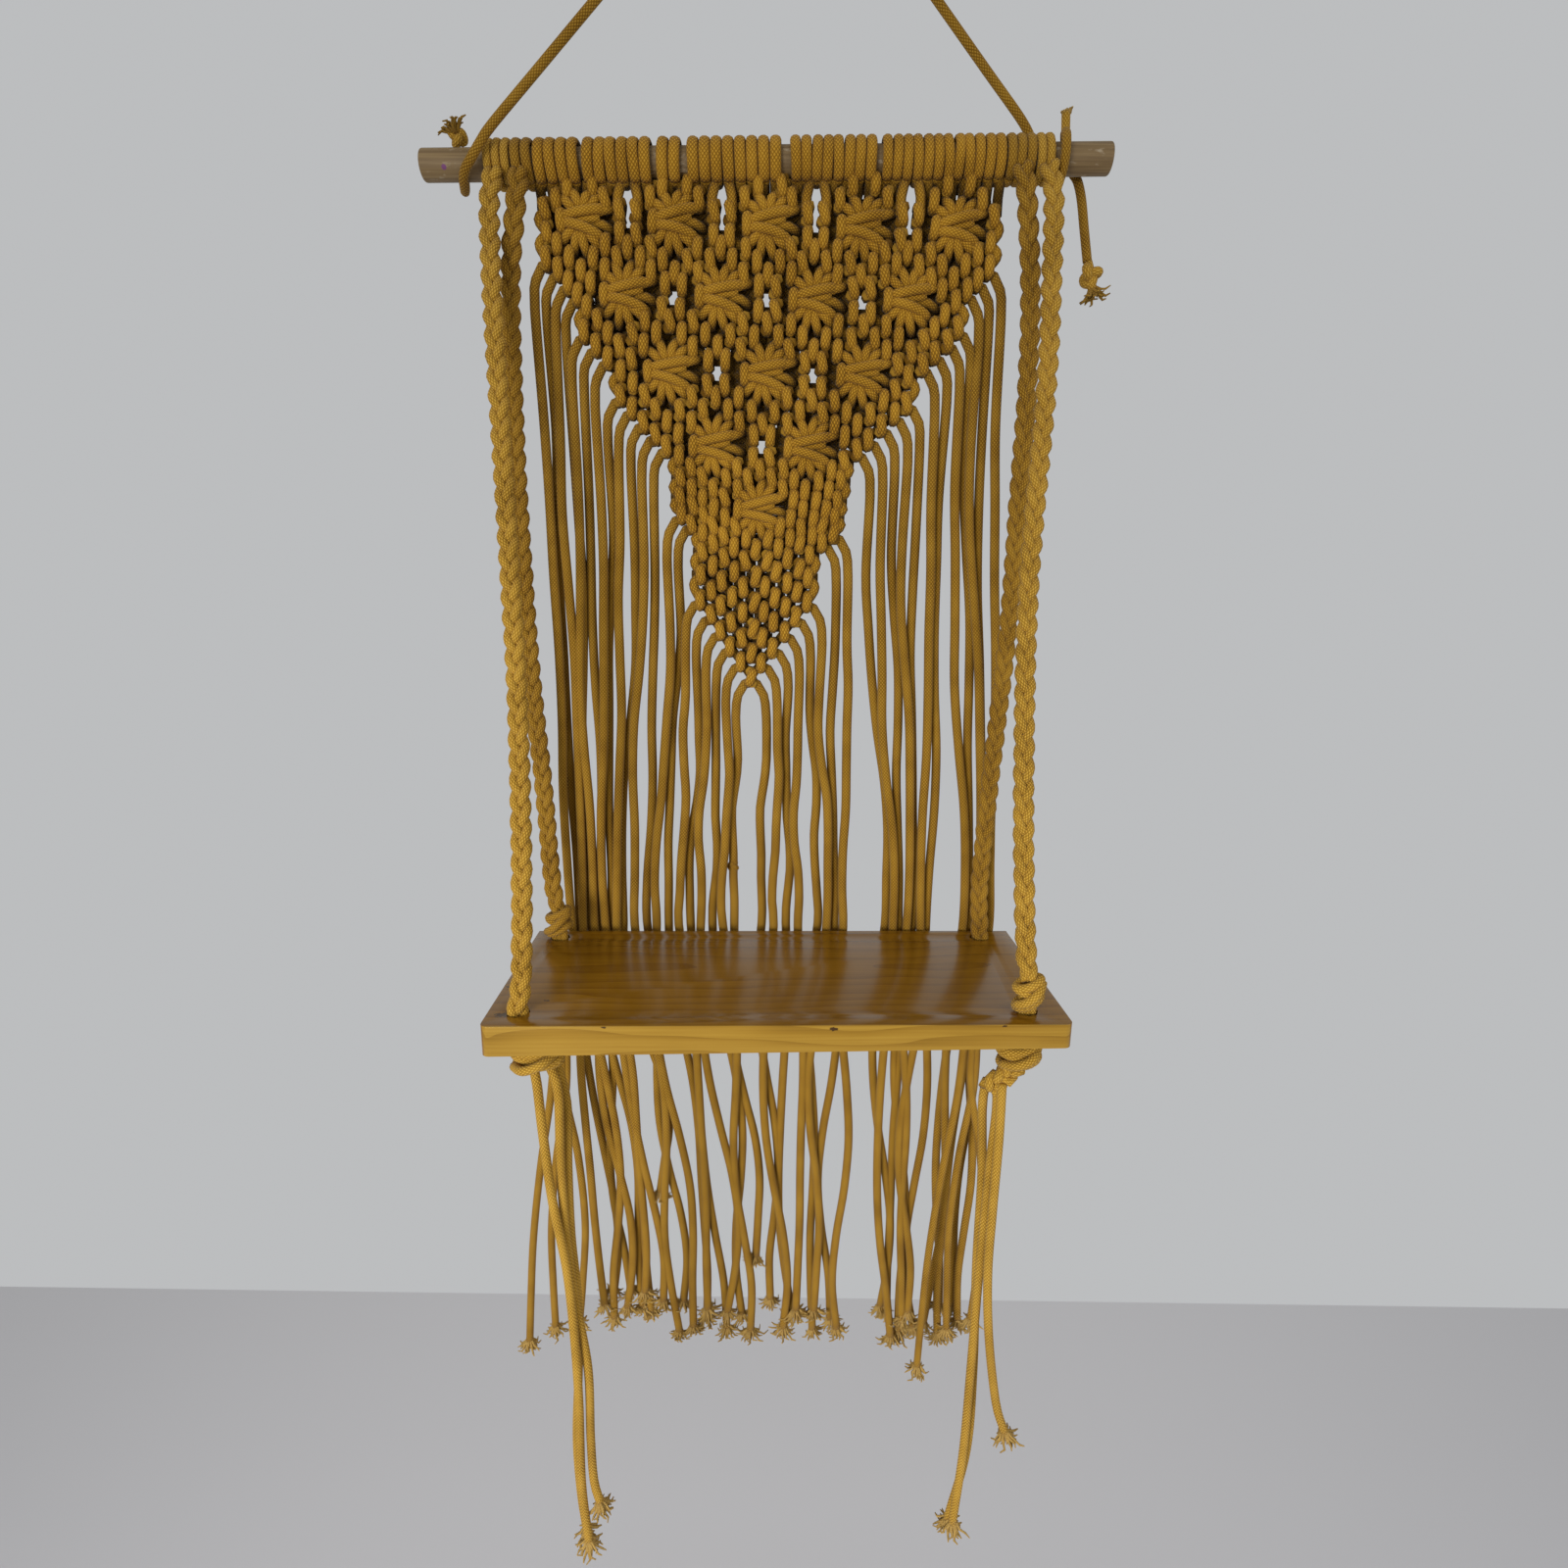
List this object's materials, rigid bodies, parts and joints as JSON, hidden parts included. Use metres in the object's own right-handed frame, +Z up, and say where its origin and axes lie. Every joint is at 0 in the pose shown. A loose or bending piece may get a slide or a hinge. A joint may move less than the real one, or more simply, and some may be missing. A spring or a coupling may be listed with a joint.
{
  "type": "macrame wall shelf with dowel and board",
  "caption": "Macrame wall shelf: a wooden dowel hung by a cord, a knotted cotton triangle with a long fringe behind, and a pine board in plaits at its corners.",
  "frame": {"origin": "the point that the hanging cord is hung by, at the cord's middle line", "axes": "+Z up, the shelf's front faces -Y, the wall is towards +Y, and +X is to the right as seen from the front"},
  "size_m": [0.4547, 0.1867, 1.1548],
  "materials": {
    "cotton": "matte braided cotton",
    "dowel_wood": "raw light wood",
    "board_wood": "glossy varnished pine"
  },
  "bodies": {
    "root": {"dowel": "dowel_wood", "shelf_board": "board_wood", "macrame_panel": "cotton", "front_left_braid": "cotton", "back_left_braid": "cotton", "back_right_braid": "cotton", "front_right_braid": "cotton", "hanging_cord": "cotton", "left_end_knot": "cotton", "tail_end_knot": "cotton"}
  },
  "joints": []
}
